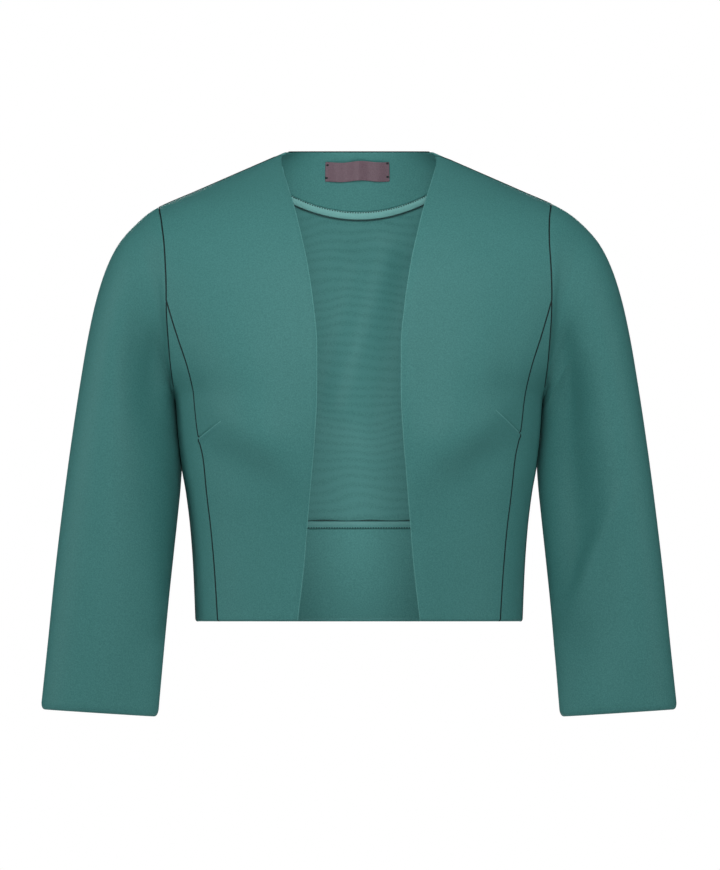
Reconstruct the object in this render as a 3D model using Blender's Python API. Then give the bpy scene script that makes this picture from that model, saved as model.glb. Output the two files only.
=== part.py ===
"""Cropped open-front jacket with three-quarter sleeves, filled out as if worn.

Metres, +Z up. The front faces -Y and the wearer's left is +X. The origin lies midway
between the shoulder seams, at the height of their middle. Every table is in millimetres.
"""

import bisect
import math
from collections import namedtuple

import bmesh
import bpy
from mathutils import Vector

MM = 0.001

# Cloth
PANEL_WALL = 1.8
FACING_WALL = 1.0
BINDING_WALL = 1.8
LABEL_WALL = 1.0
SEAM_GAP = 0.3
LAYER_GAP = 0.5
CLOTH_COLOUR = (0.055, 0.200, 0.180, 1.0)
BINDING_COLOUR = (0.075, 0.240, 0.215, 1.0)
LABEL_COLOUR = (0.120, 0.085, 0.105, 1.0)
CLOTH_ROUGHNESS = 0.6
BINDING_ROUGHNESS = 0.45
LABEL_ROUGHNESS = 0.4
SHARP_RIM_DEGREES = 50.0

# Neck, shoulders, armholes and hem
NECK_HALF = 70.0
NECK_HEIGHT = 27.6
NECK_POINT_BACK = 8.0
BACK_NECK_LIFT = 2.0
SHOULDER_HALF = 188.3
SHOULDER_HEIGHT = -24.4
SHOULDER_SET_IN = {"left": -3.7, "right": 3.7}
SET_IN_FADE = 85.0
UNDERARM_HEIGHT = -209.2
FRONT_NECK_DROP = 2.7
PRINCESS_DROP = 4.0
HEM_HEIGHT = -424.0

# Roundness of a level section
SECTION_POWER = 2.5

# Fullness over the bust, drawn in by the princess seam and the bust dart
BUST_HALF = 104.0
BUST_HEIGHT = -240.0
BUST_FULLNESS = 14.0
BUST_WIDTH = 56.0
BUST_RISE = 80.0
BUST_FALL = 36.0
BUST_SLANT = 0.8

Armhole = namedtuple("Armhole", "height half_width")
ARMHOLE_LINE = [
    Armhole(-24.4, 188.3),
    Armhole(-43.0, 185.5),
    Armhole(-66.0, 184.2),
    Armhole(-116.7, 184.2),
    Armhole(-168.0, 181.4),
    Armhole(-209.2, 176.8),
]

# Level sections of the body. Each closes at half_width: on the shoulder seam above the
# armhole, past the armhole that cuts it off, and on the side seam below.
Section = namedtuple("Section", "height half_width front back")
SECTIONS = [
    Section(27.6, 70.0, 0.0, 60.0),
    Section(10.0, 110.0, 23.0, 69.5),
    Section(-10.0, 155.5, 44.0, 77.5),
    Section(-24.4, 188.3, 57.0, 82.5),
    Section(-40.0, 213.5, 69.0, 87.5),
    Section(-60.0, 228.5, 81.0, 92.0),
    Section(-85.0, 231.0, 92.0, 95.5),
    Section(-116.7, 222.0, 101.5, 98.0),
    Section(-150.0, 208.0, 108.0, 98.5),
    Section(-180.0, 192.5, 112.0, 98.0),
    Section(-209.2, 176.8, 113.5, 96.5),
    Section(-247.0, 173.5, 112.0, 93.0),
    Section(-275.0, 170.2, 109.0, 89.5),
    Section(-300.0, 165.8, 106.0, 87.0),
    Section(-332.0, 161.8, 102.5, 84.5),
    Section(-372.0, 158.8, 99.0, 83.0),
    Section(-424.0, 156.6, 96.0, 82.0),
]

Opening = namedtuple("Opening", "height half_width")
FRONT_OPENING = [
    Opening(24.9, 75.2),
    Opening(14.0, 73.9),
    Opening(-9.6, 67.2),
    Opening(-22.0, 63.4),
    Opening(-51.0, 56.2),
    Opening(-78.7, 50.2),
    Opening(-121.0, 43.8),
    Opening(-162.0, 40.3),
    Opening(-205.0, 40.3),
    Opening(-248.6, 42.4),
    Opening(-291.0, 45.9),
    Opening(-325.4, 49.0),
    Opening(-371.5, 52.8),
    Opening(-424.0, 58.9),
]

Princess = namedtuple("Princess", "height half_width")
PRINCESS_SEAM = [
    Princess(-116.7, 184.2),
    Princess(-151.0, 174.2),
    Princess(-183.0, 164.2),
    Princess(-209.0, 158.4),
    Princess(-246.0, 153.4),
    Princess(-266.0, 149.8),
    Princess(-307.0, 145.0),
    Princess(-341.0, 141.1),
    Princess(-378.0, 137.9),
    Princess(-424.0, 135.0),
]

# Sleeve sections run from the armhole (0) to the sleeve hem (1). Each lies in the plane
# of its outer point, its inner point and the Y axis.
SleeveSection = namedtuple(
    "SleeveSection", "along outer_x outer_z inner_x inner_z front back outer_y inner_y"
)
SLEEVE_SECTIONS = [
    SleeveSection(0.00, 188.3, -24.4, 176.8, -209.2, 60.0, 62.0, 0.0, 0.0),
    SleeveSection(0.06, 202.1, -32.6, 176.3, -211.0, 60.0, 62.0, 0.0, 16.0),
    SleeveSection(0.13, 217.3, -45.8, 175.6, -214.0, 59.0, 61.0, 0.0, 18.0),
    SleeveSection(0.20, 231.0, -62.2, 175.0, -218.0, 58.0, 60.0, 0.0, 20.0),
    SleeveSection(0.28, 242.4, -85.0, 174.5, -224.0, 56.0, 58.0, 0.0, 20.0),
    SleeveSection(0.37, 252.0, -115.0, 173.4, -233.0, 54.0, 56.0, 0.0, 20.0),
    SleeveSection(0.46, 260.3, -153.0, 172.1, -247.0, 52.0, 53.0, -1.0, 20.0),
    SleeveSection(0.55, 267.4, -195.0, 169.6, -268.0, 50.0, 50.0, -1.0, 18.0),
    SleeveSection(0.63, 273.5, -235.0, 170.8, -292.0, 48.0, 47.0, -2.0, 12.0),
    SleeveSection(0.71, 279.9, -281.0, 173.6, -322.0, 45.0, 44.0, -4.0, 5.0),
    SleeveSection(0.79, 286.3, -332.0, 177.6, -360.0, 42.0, 41.0, -6.0, -1.0),
    SleeveSection(0.86, 291.8, -380.0, 181.8, -400.0, 39.0, 38.0, -8.0, -6.0),
    SleeveSection(0.93, 298.4, -446.0, 186.8, -453.0, 36.0, 34.0, -10.0, -9.0),
    SleeveSection(1.00, 304.9, -508.2, 192.4, -515.4, 33.0, 31.0, -12.0, -12.0),
]
SLEEVE_SEAM_SETTLE = 0.12

# Soft folds of the sleeves, each a trough along a line from one place to another, deepest
# halfway. One that starts below 0 comes out of the armhole seam already sunk. A turn of 0
# is the outer edge, 90 the middle of the front and -90 of the back.
Fold = namedtuple("Fold", "side from_along from_turn to_along to_turn depth width")
SLEEVE_FOLDS = [
    Fold("left", -0.08, 112.0, 0.58, 112.0, 10.0, 28.0),
    Fold("left", 0.30, 126.0, 0.98, 104.0, 14.0, 34.0),
    Fold("left", 0.56, 132.0, 1.00, 144.0, 6.0, 20.0),
    Fold("left", 0.44, -104.0, 0.74, -76.0, 3.0, 14.0),
    Fold("right", -0.10, 114.0, 0.62, 112.0, 12.0, 28.0),
    Fold("right", 0.48, -100.0, 0.80, -84.0, 3.0, 14.0),
]

# Back neck facing, its binding, the hem facing with its binding, and the label
FACING_CENTRE_HEIGHT = -27.8
FACING_RISE = 15.8
FACING_RISE_HALF = 66.0
FACING_SHOULDER_HALF = 101.0
FACING_NECK_HALF = 66.0
FACING_TOP_DROP = 0.8
BINDING_WIDTH = 7.2
HEM_FACING_TOP = -334.5
HEM_FACING_LIFT = 0.8
LABEL_LEFT = -33.1
LABEL_RIGHT = 29.8
LABEL_TOP = 18.2
LABEL_BOTTOM = 0.6

# Steps of each grid
SHOULDER_STEPS = 5
ARMHOLE_STEPS = 12
LOWER_STEPS = 11
FRONT_COLUMNS = 9
SIDE_FRONT_COLUMNS = 5
BACK_COLUMNS = 22
BACK_EDGE_SHARE = 0.965
SLEEVE_STEPS = 20
SLEEVE_ROUND = 24
FACING_COLUMNS = 16
FACING_ROWS = 5
BINDING_ROWS = 2
LABEL_COLUMNS = 8
LABEL_ROWS = 3

for old_object in list(bpy.data.objects):
    bpy.data.objects.remove(old_object)


def smooth_curve(pairs):
    """A smooth function through (place, value) pairs that never overshoots them."""
    pairs = sorted(pairs)
    places = [place for place, _ in pairs]
    values = [value for _, value in pairs]
    rises = [
        (values[i + 1] - values[i]) / (places[i + 1] - places[i])
        for i in range(len(pairs) - 1)
    ]
    slopes = [rises[0]]
    for before, after in zip(rises, rises[1:]):
        slopes.append(2 * before * after / (before + after) if before * after > 0 else 0.0)
    slopes.append(rises[-1])

    def value_at(place):
        place = min(max(place, places[0]), places[-1])
        i = min(bisect.bisect_right(places, place) - 1, len(places) - 2)
        span = places[i + 1] - places[i]
        q = (place - places[i]) / span
        return (
            (1 + 2 * q) * (1 - q) ** 2 * values[i]
            + q * (1 - q) ** 2 * span * slopes[i]
            + q * q * (3 - 2 * q) * values[i + 1]
            + q * q * (q - 1) * span * slopes[i + 1]
        )

    return value_at


def column(table, place, value):
    return smooth_curve([(getattr(row, place), getattr(row, value)) for row in table])


armhole_half = column(ARMHOLE_LINE, "height", "half_width")
closing_half = column(SECTIONS, "height", "half_width")
front_depth = column(SECTIONS, "height", "front")
back_depth = column(SECTIONS, "height", "back")
opening_half = column(FRONT_OPENING, "height", "half_width")
princess_half = column(PRINCESS_SEAM, "height", "half_width")
sleeve_value = {
    name: column(SLEEVE_SECTIONS, "along", name) for name in SleeveSection._fields[1:]
}

ARMHOLE_MIDDLE = (SHOULDER_HEIGHT + UNDERARM_HEIGHT) / 2
ARMHOLE_HALF_HEIGHT = (SHOULDER_HEIGHT - UNDERARM_HEIGHT) / 2
SHOULDER_SLOPE = (NECK_HEIGHT - SHOULDER_HEIGHT) / (SHOULDER_HALF - NECK_HALF)


def set_in(height, side):
    """How far the armhole seam sits further in or out on one side, fading from the shoulder point."""
    if height > SHOULDER_HEIGHT:
        fade = (NECK_HEIGHT - height) / (NECK_HEIGHT - SHOULDER_HEIGHT)
    else:
        fade = 1 - (SHOULDER_HEIGHT - height) / SET_IN_FADE
    fade = min(max(fade, 0.0), 1.0)
    return SHOULDER_SET_IN[side] * fade * fade * (3 - 2 * fade)


def section_half(height, side):
    """Half-width at which a level section closes."""
    return closing_half(height) + set_in(height, side)


def edge_half(height, side):
    """Half-width at the outer edge of the body: shoulder seam, armhole, then side seam."""
    if SHOULDER_HEIGHT > height > UNDERARM_HEIGHT:
        return armhole_half(height) + set_in(height, side)
    return section_half(height, side)


def angle_at(half, height, side):
    share = half / section_half(height, side)
    return math.asin(max(-1.0, min(1.0, share)))


def edge_angle(height, side):
    return angle_at(edge_half(height, side), height, side)


def section_fall(angle):
    """1 at the centre line of a section and 0 where its curve closes."""
    fall = math.sqrt(max(0.0, 1 - abs(math.sin(angle)) ** SECTION_POWER))
    return math.copysign(fall, math.cos(angle))


def closing_y(height):
    """Depth at which a section closes: the neck points stand a little behind the shoulder points."""
    rise = (height - SHOULDER_HEIGHT) / (NECK_HEIGHT - SHOULDER_HEIGHT)
    return NECK_POINT_BACK * max(0.0, rise)


def body_point(angle, height, face, side):
    """A point of the body's outer surface, on the left half."""
    x = section_half(height, side) * math.sin(angle)
    z = height - set_in(height, side) * SHOULDER_SLOPE * math.sin(angle) ** 2
    start = closing_y(height)
    fall = section_fall(angle)
    if face == "back":
        rise = max(0.0, (height - SHOULDER_HEIGHT) / (NECK_HEIGHT - SHOULDER_HEIGHT))
        z += BACK_NECK_LIFT * rise * rise * fall
        return Vector((x, start + (back_depth(height) - start) * fall, z))
    across = (x - BUST_HALF) / BUST_WIDTH
    above = height - BUST_HEIGHT + BUST_SLANT * (BUST_HALF - x)
    down = above / (BUST_RISE if above > 0 else BUST_FALL)
    fullness = BUST_FULLNESS * math.exp(-across * across - down * down)
    reach = front_depth(height) + start + fullness
    return Vector((x, start - reach * fall, z))


def body_normal(angle, height, face, side):
    turn = 0.002
    step = 0.2
    low = height if height >= SHOULDER_HEIGHT else height - step
    high = height if height <= UNDERARM_HEIGHT else height + step
    along = body_point(angle + turn, height, face, side) - body_point(angle - turn, height, face, side)
    up = body_point(angle, high, face, side) - body_point(angle, low, face, side)
    normal = along.cross(up).normalized()
    return -normal if face == "back" else normal


def body_spot(angle, height, face, side):
    """Point and outward normal at a signed angle, mirrored onto the half it lies on."""
    point = body_point(abs(angle), height, face, side)
    normal = body_normal(abs(angle), height, face, side)
    if angle < 0:
        point.x = -point.x
        normal.x = -normal.x
    return point, normal


def spread(first, last, steps):
    return [first * (1 - i / steps) + last * (i / steps) for i in range(steps + 1)]


def draw_in(grid, first=False, last=False):
    """Pulls the seam edges of a grid of spots back by half the gap between two pieces."""
    for row in grid:
        for wanted, end, beside in ((first, 0, 1), (last, -1, -2)):
            if wanted:
                point, normal = row[end]
                inward = (row[beside][0] - point).normalized()
                row[end] = (point + inward * SEAM_GAP / 2, normal)
    return grid


def cloth_material(name, colour, roughness):
    material = bpy.data.materials.new(name)
    material.use_nodes = True
    shader = material.node_tree.nodes["Principled BSDF"]
    shader.inputs["Base Color"].default_value = colour
    shader.inputs["Roughness"].default_value = roughness
    shader.inputs["Metallic"].default_value = 0.0
    return material


def cloth_wall(name, grid, thickness, material, closed_round=False):
    """One closed wall from a grid of (outer point, outward normal) spots."""
    bm = bmesh.new()
    outer = [[bm.verts.new(point * MM) for point, _ in row] for row in grid]
    inner = [[bm.verts.new((point - normal * thickness) * MM) for point, normal in row] for row in grid]
    rows = len(grid)
    columns = len(grid[0])
    ways = columns if closed_round else columns - 1
    for i in range(rows - 1):
        for j in range(ways):
            k = (j + 1) % columns
            bm.faces.new((outer[i][j], outer[i + 1][j], outer[i + 1][k], outer[i][k]))
            bm.faces.new((inner[i][j], inner[i][k], inner[i + 1][k], inner[i + 1][j]))
    for j in range(ways):
        k = (j + 1) % columns
        bm.faces.new((outer[0][j], outer[0][k], inner[0][k], inner[0][j]))
        bm.faces.new((outer[-1][k], outer[-1][j], inner[-1][j], inner[-1][k]))
    if not closed_round:
        for i in range(rows - 1):
            bm.faces.new((outer[i][0], inner[i][0], inner[i + 1][0], outer[i + 1][0]))
            bm.faces.new((outer[i][-1], outer[i + 1][-1], inner[i + 1][-1], inner[i][-1]))
    bmesh.ops.recalc_face_normals(bm, faces=bm.faces)
    mesh = bpy.data.meshes.new(name)
    bm.to_mesh(mesh)
    bm.free()
    mesh.shade_smooth()
    mesh.set_sharp_from_angle(angle=math.radians(SHARP_RIM_DEGREES))
    mesh.materials.append(material)
    piece = bpy.data.objects.new(name, mesh)
    bpy.context.scene.collection.objects.link(piece)
    piece.parent = jacket
    return piece


def mirrored(grid):
    flip = Vector((-1, 1, 1))
    return [[(point * flip, normal * flip) for point, normal in row] for row in grid]


jacket = bpy.data.objects.new("jacket", None)
bpy.context.scene.collection.objects.link(jacket)
cloth = cloth_material("teal_crepe", CLOTH_COLOUR, CLOTH_ROUGHNESS)
binding_cloth = cloth_material("teal_bias_binding", BINDING_COLOUR, BINDING_ROUGHNESS)
label_cloth = cloth_material("plum_label_satin", LABEL_COLOUR, LABEL_ROUGHNESS)

# Heights of the rows. The princess seam leaves the armhole at half its height, where the
# side front starts a little lower because it would otherwise run out to a point.
PRINCESS_START = ARMHOLE_MIDDLE - PRINCESS_DROP
FRONT_TOP = NECK_HEIGHT - FRONT_NECK_DROP
armhole_heights = [
    ARMHOLE_MIDDLE + ARMHOLE_HALF_HEIGHT * math.cos(math.pi * i / ARMHOLE_STEPS)
    for i in range(1, ARMHOLE_STEPS)
]
lower_heights = spread(UNDERARM_HEIGHT, HEM_HEIGHT, LOWER_STEPS)
below_shoulder = sorted(armhole_heights + [PRINCESS_START] + lower_heights, reverse=True)
front_heights = spread(FRONT_TOP, SHOULDER_HEIGHT, SHOULDER_STEPS) + below_shoulder
back_shares = [-1.0, -BACK_EDGE_SHARE] + spread(-1.0, 1.0, BACK_COLUMNS)[1:-1] + [BACK_EDGE_SHARE, 1.0]
back_heights = spread(NECK_HEIGHT, SHOULDER_HEIGHT, SHOULDER_STEPS) + below_shoulder


def front_panel(side):
    """Centre front: from the open edge to the shoulder, the armhole and the princess seam."""
    grid = []
    for height in front_heights:
        first = angle_at(opening_half(height), height, side)
        last = edge_angle(height, side)
        if height < ARMHOLE_MIDDLE:
            last = angle_at(princess_half(height), height, side)
        row = [body_spot(angle, height, "front", side) for angle in spread(first, last, FRONT_COLUMNS)]
        grid.append(row)
    return draw_in(grid, last=True)


def side_front_panel(side):
    """Side front: from the princess seam to the armhole and the side seam."""
    grid = []
    for height in front_heights:
        if height > PRINCESS_START:
            continue
        first = angle_at(princess_half(height), height, side)
        last = edge_angle(height, side)
        row = [
            body_spot(angle, height, "front", side) for angle in spread(first, last, SIDE_FRONT_COLUMNS)
        ]
        grid.append(row)
    return draw_in(grid, first=True, last=True)


def back_panel():
    """The back in one piece, from neck to hem and from side seam to side seam."""
    grid = []
    for height in back_heights:
        row = []
        for share in back_shares:
            side = "left" if share >= 0 else "right"
            row.append(body_spot(share * edge_angle(height, side), height, "back", side))
        grid.append(row)
    return draw_in(grid, first=True, last=True)


def fold_depth(side, along, turn, girth):
    """How far the soft folds of a sleeve sink at a place on it."""
    sunk = 0.0
    for fold in SLEEVE_FOLDS:
        if fold.side != side:
            continue
        share = (along - fold.from_along) / (fold.to_along - fold.from_along)
        if not 0 < share < 1:
            continue
        middle = fold.from_turn + (fold.to_turn - fold.from_turn) * share
        apart = math.radians((turn - middle + 180) % 360 - 180) * girth
        sunk += fold.depth * math.sin(math.pi * share) * math.exp(-((apart / fold.width) ** 2))
    return sunk


at_underarm = armhole_half(UNDERARM_HEIGHT)


def sleeve_point(along, turn, side):
    """A point of the outer surface of the left sleeve, or of the right one before mirroring."""
    at = {name: curve(along) for name, curve in sleeve_value.items()}
    outer = Vector((at["outer_x"], 0, at["outer_z"]))
    inner = Vector((at["inner_x"], 0, at["inner_z"]))
    angle = math.radians(turn)
    reach = at["front"] if math.sin(angle) > 0 else at["back"]
    arm = (outer - inner) / 2 * math.cos(angle) + Vector((0, -reach * math.sin(angle), 0))
    girth = ((outer - inner).length / 2 + reach) / 2
    arm *= 1 - fold_depth(side, along, turn, girth) / arm.length
    middle_y = at["outer_y"] + (at["inner_y"] - at["outer_y"]) * (1 - math.cos(angle)) / 2
    point = (outer + inner) / 2 + arm + Vector((0, middle_y, 0))
    settle = max(0.0, 1 - along / SLEEVE_SEAM_SETTLE) ** 2
    height = max(min(point.z, SHOULDER_HEIGHT), UNDERARM_HEIGHT)
    share = (height - UNDERARM_HEIGHT) / (SHOULDER_HEIGHT - UNDERARM_HEIGHT)
    straight_x = at_underarm + (SHOULDER_HALF - at_underarm) * share
    face = "front" if math.sin(angle) > 0 else "back"
    seam = body_point(edge_angle(height, side), height, face, side)
    point.x += (seam.x - straight_x) * settle + SEAM_GAP
    point.y += (seam.y - point.y) * settle
    point.z += (seam.z - height) * settle
    return point


def sleeve_normal(along, turn, side):
    step = 0.004
    swing = 1.0
    low = max(0.0, along - step)
    high = min(1.0, along + step)
    down = sleeve_point(high, turn, side) - sleeve_point(low, turn, side)
    around = sleeve_point(along, turn + swing, side) - sleeve_point(along, turn - swing, side)
    normal = around.cross(down).normalized()
    if along == 0:
        normal.x = min(normal.x, 0.0)
        normal.normalize()
    return normal


def sleeve_tube(side):
    """A set-in sleeve from the armhole to its open hem."""
    turns = [360.0 * j / SLEEVE_ROUND for j in range(SLEEVE_ROUND)]
    grid = []
    for along in spread(0.0, 1.0, SLEEVE_STEPS):
        row = [(sleeve_point(along, turn, side), sleeve_normal(along, turn, side)) for turn in turns]
        grid.append(row)
    return grid


def inside_back(half, height, moved_in):
    """A spot on the inside of the back, moved in from its outer surface."""
    side = "left" if half >= 0 else "right"
    point, normal = body_spot(angle_at(half, height, side), height, "back", side)
    return point - normal * moved_in, normal


INSIDE_BACK = PANEL_WALL + LAYER_GAP
INSIDE_FACING = INSIDE_BACK + FACING_WALL + LAYER_GAP


def facing_edge_height(half):
    return FACING_CENTRE_HEIGHT + FACING_RISE * (half / FACING_RISE_HALF) ** 2


def neck_facing_spot(across, down, moved_in):
    """A place on the neck facing: across from -1 to 1, down from the neck (0) to its edge (1)."""
    top = (FACING_NECK_HALF * across, NECK_HEIGHT - FACING_TOP_DROP)
    low_half = FACING_SHOULDER_HALF * across
    low = (low_half, facing_edge_height(low_half))
    half = top[0] + (low[0] - top[0]) * down
    height = top[1] + (low[1] - top[1]) * down
    return inside_back(half, height, moved_in)


def neck_facing():
    return [
        [neck_facing_spot(across, down, INSIDE_BACK) for across in spread(-1, 1, FACING_COLUMNS)]
        for down in spread(0.0, 1.0, FACING_ROWS)
    ]


def neck_binding():
    grid = []
    for drop in spread(SEAM_GAP, SEAM_GAP + BINDING_WIDTH, BINDING_ROWS):
        row = []
        for across in spread(-1, 1, FACING_COLUMNS):
            half = FACING_SHOULDER_HALF * across
            row.append(inside_back(half, facing_edge_height(half) - drop, INSIDE_BACK))
        grid.append(row)
    return grid


def hem_strip(top, bottom, rows, moved_in):
    """A strip along the inside of the back hem, from side seam to side seam."""
    grid = []
    for height in spread(top, bottom, rows):
        row = []
        for share in back_shares[1:-1]:
            point, normal = body_spot(share * math.pi / 2, height, "back", "left")
            row.append((point - normal * moved_in, normal))
        grid.append(row)
    return grid


def label_patch():
    return [
        [inside_back(half, height, INSIDE_FACING) for half in spread(LABEL_LEFT, LABEL_RIGHT, LABEL_COLUMNS)]
        for height in spread(LABEL_TOP, LABEL_BOTTOM, LABEL_ROWS)
    ]


cloth_wall("front_left", front_panel("left"), PANEL_WALL, cloth)
cloth_wall("front_right", mirrored(front_panel("right")), PANEL_WALL, cloth)
cloth_wall("side_front_left", side_front_panel("left"), PANEL_WALL, cloth)
cloth_wall("side_front_right", mirrored(side_front_panel("right")), PANEL_WALL, cloth)
cloth_wall("back", back_panel(), PANEL_WALL, cloth)
cloth_wall("sleeve_left", sleeve_tube("left"), PANEL_WALL, cloth, closed_round=True)
cloth_wall("sleeve_right", mirrored(sleeve_tube("right")), PANEL_WALL, cloth, closed_round=True)
cloth_wall("back_neck_facing", neck_facing(), FACING_WALL, cloth)
cloth_wall("neck_facing_binding", neck_binding(), BINDING_WALL, binding_cloth)
hem_binding_top = HEM_FACING_TOP + SEAM_GAP + BINDING_WIDTH
hem_binding = hem_strip(hem_binding_top, HEM_FACING_TOP + SEAM_GAP, BINDING_ROWS, INSIDE_BACK)
hem_facing = hem_strip(HEM_FACING_TOP, HEM_HEIGHT + HEM_FACING_LIFT, FACING_ROWS, INSIDE_BACK)
cloth_wall("hem_facing_binding", hem_binding, BINDING_WALL, binding_cloth)
cloth_wall("back_hem_facing", hem_facing, FACING_WALL, cloth)
cloth_wall("label", label_patch(), LABEL_WALL, label_cloth)
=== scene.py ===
"""Looks of a cropped open-front jacket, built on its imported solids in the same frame."""

import math
from collections import namedtuple

import bmesh
import bpy
import numpy as np
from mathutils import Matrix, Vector


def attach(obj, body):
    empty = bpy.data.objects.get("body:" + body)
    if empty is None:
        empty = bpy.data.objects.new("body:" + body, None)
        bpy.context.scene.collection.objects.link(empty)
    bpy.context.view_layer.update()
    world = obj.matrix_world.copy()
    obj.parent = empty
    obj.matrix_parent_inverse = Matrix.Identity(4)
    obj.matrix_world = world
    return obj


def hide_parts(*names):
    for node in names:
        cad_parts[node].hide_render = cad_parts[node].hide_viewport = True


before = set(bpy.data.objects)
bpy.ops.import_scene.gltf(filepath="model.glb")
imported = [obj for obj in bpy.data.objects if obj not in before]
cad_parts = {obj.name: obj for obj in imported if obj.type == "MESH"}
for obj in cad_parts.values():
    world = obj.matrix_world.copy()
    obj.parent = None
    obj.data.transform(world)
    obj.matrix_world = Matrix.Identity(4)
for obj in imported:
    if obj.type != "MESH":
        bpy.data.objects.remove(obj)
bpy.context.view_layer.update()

# Front panels
# The two centre fronts are smooth teal crepe, turned under along the curved open edge. Each
# hangs from the shoulder seam and is sewn to its side front along the princess seam, where a
# short pressed bust dart starts. Sizes are in millimetres unless a comment says otherwise.
MM = 0.001
PANEL_WALL = 1.8
SEAM_GAP = 0.3
NECK_HALF = 70.0
NECK_HEIGHT = 27.6
NECK_POINT_BACK = 8.0
BACK_NECK_LIFT = 2.0
SHOULDER_HALF = 188.3
SHOULDER_HEIGHT = -24.4
SHOULDER_SET_IN = {"left": -3.7, "right": 3.7}
SET_IN_FADE = 85.0
UNDERARM_HEIGHT = -209.2
ARMHOLE_MIDDLE = (SHOULDER_HEIGHT + UNDERARM_HEIGHT) / 2
SHOULDER_SLOPE = (NECK_HEIGHT - SHOULDER_HEIGHT) / (SHOULDER_HALF - NECK_HALF)
FRONT_TOP = 24.9
HEM_HEIGHT = -424.0
SECTION_POWER = 2.5
BUST_HALF = 104.0
BUST_HEIGHT = -240.0
BUST_FULLNESS = 14.0
BUST_WIDTH = 56.0
BUST_RISE = 80.0
BUST_FALL = 36.0
BUST_SLANT = 0.8

# Level sections of the body, the line of the armhole that cuts them, the open front edge
# and the princess seam, all in millimetres.
Section = namedtuple("Section", "height half_width front back")
SECTIONS = [
    Section(27.6, 70.0, 0.0, 60.0),
    Section(10.0, 110.0, 23.0, 69.5),
    Section(-10.0, 155.5, 44.0, 77.5),
    Section(-24.4, 188.3, 57.0, 82.5),
    Section(-40.0, 213.5, 69.0, 87.5),
    Section(-60.0, 228.5, 81.0, 92.0),
    Section(-85.0, 231.0, 92.0, 95.5),
    Section(-116.7, 222.0, 101.5, 98.0),
    Section(-150.0, 208.0, 108.0, 98.5),
    Section(-180.0, 192.5, 112.0, 98.0),
    Section(-209.2, 176.8, 113.5, 96.5),
    Section(-247.0, 173.5, 112.0, 93.0),
    Section(-275.0, 170.2, 109.0, 89.5),
    Section(-300.0, 165.8, 106.0, 87.0),
    Section(-332.0, 161.8, 102.5, 84.5),
    Section(-372.0, 158.8, 99.0, 83.0),
    Section(-424.0, 156.6, 96.0, 82.0),
]
Line = namedtuple("Line", "height half_width")
ARMHOLE_LINE = [
    Line(-24.4, 188.3),
    Line(-43.0, 185.5),
    Line(-66.0, 184.2),
    Line(-116.7, 184.2),
    Line(-168.0, 181.4),
    Line(-209.2, 176.8),
]
FRONT_OPENING = [
    Line(24.9, 75.2),
    Line(14.0, 73.9),
    Line(-9.6, 67.2),
    Line(-22.0, 63.4),
    Line(-51.0, 56.2),
    Line(-78.7, 50.2),
    Line(-121.0, 43.8),
    Line(-162.0, 40.3),
    Line(-205.0, 40.3),
    Line(-248.6, 42.4),
    Line(-291.0, 45.9),
    Line(-325.4, 49.0),
    Line(-371.5, 52.8),
    Line(-424.0, 58.9),
]
PRINCESS_SEAM = [
    Line(-116.7, 184.2),
    Line(-151.0, 174.2),
    Line(-183.0, 164.2),
    Line(-209.0, 158.4),
    Line(-246.0, 153.4),
    Line(-266.0, 149.8),
    Line(-307.0, 145.0),
    Line(-341.0, 141.1),
    Line(-378.0, 137.9),
    Line(-424.0, 135.0),
]


def smooth_curve(table, place, value):
    """A smooth function through two columns of a table that never overshoots them."""
    pairs = sorted((getattr(row, place), getattr(row, value)) for row in table)
    places, values = np.array(pairs).T
    rises = np.diff(values) / np.diff(places)
    product = rises[:-1] * rises[1:]
    total = np.where(product > 0, rises[:-1] + rises[1:], 1.0)
    inner_slopes = np.where(product > 0, 2 * product / total, 0.0)
    slopes = np.concatenate((rises[:1], inner_slopes, rises[-1:]))

    def value_at(where):
        where = np.clip(where, places[0], places[-1])
        i = np.clip(np.searchsorted(places, where, side="right") - 1, 0, len(places) - 2)
        span = places[i + 1] - places[i]
        q = (where - places[i]) / span
        return (
            (1 + 2 * q) * (1 - q) ** 2 * values[i]
            + q * (1 - q) ** 2 * span * slopes[i]
            + q * q * (3 - 2 * q) * values[i + 1]
            + q * q * (q - 1) * span * slopes[i + 1]
        )

    return value_at


closing_half = smooth_curve(SECTIONS, "height", "half_width")
front_depth = smooth_curve(SECTIONS, "height", "front")
back_depth = smooth_curve(SECTIONS, "height", "back")
armhole_half = smooth_curve(ARMHOLE_LINE, "height", "half_width")
opening_half = smooth_curve(FRONT_OPENING, "height", "half_width")
princess_half = smooth_curve(PRINCESS_SEAM, "height", "half_width")


def set_in(height, side):
    """How far the armhole seam sits further in or out on one side, fading from the shoulder point."""
    above = (NECK_HEIGHT - height) / (NECK_HEIGHT - SHOULDER_HEIGHT)
    below = 1 - (SHOULDER_HEIGHT - height) / SET_IN_FADE
    fade = np.clip(np.where(height > SHOULDER_HEIGHT, above, below), 0.0, 1.0)
    return SHOULDER_SET_IN[side] * fade * fade * (3 - 2 * fade)


def section_half(height, side):
    return closing_half(height) + set_in(height, side)


def edge_half(height, side):
    """Half-width at the outer edge of the body: shoulder seam, armhole, then side seam."""
    on_armhole = (height < SHOULDER_HEIGHT) & (height > UNDERARM_HEIGHT)
    return np.where(on_armhole, armhole_half(height) + set_in(height, side), section_half(height, side))


def angle_at(half, height, side):
    return np.arcsin(np.clip(half / section_half(height, side), -1.0, 1.0))


def edge_angle(height, side):
    return angle_at(edge_half(height, side), height, side)


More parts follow.
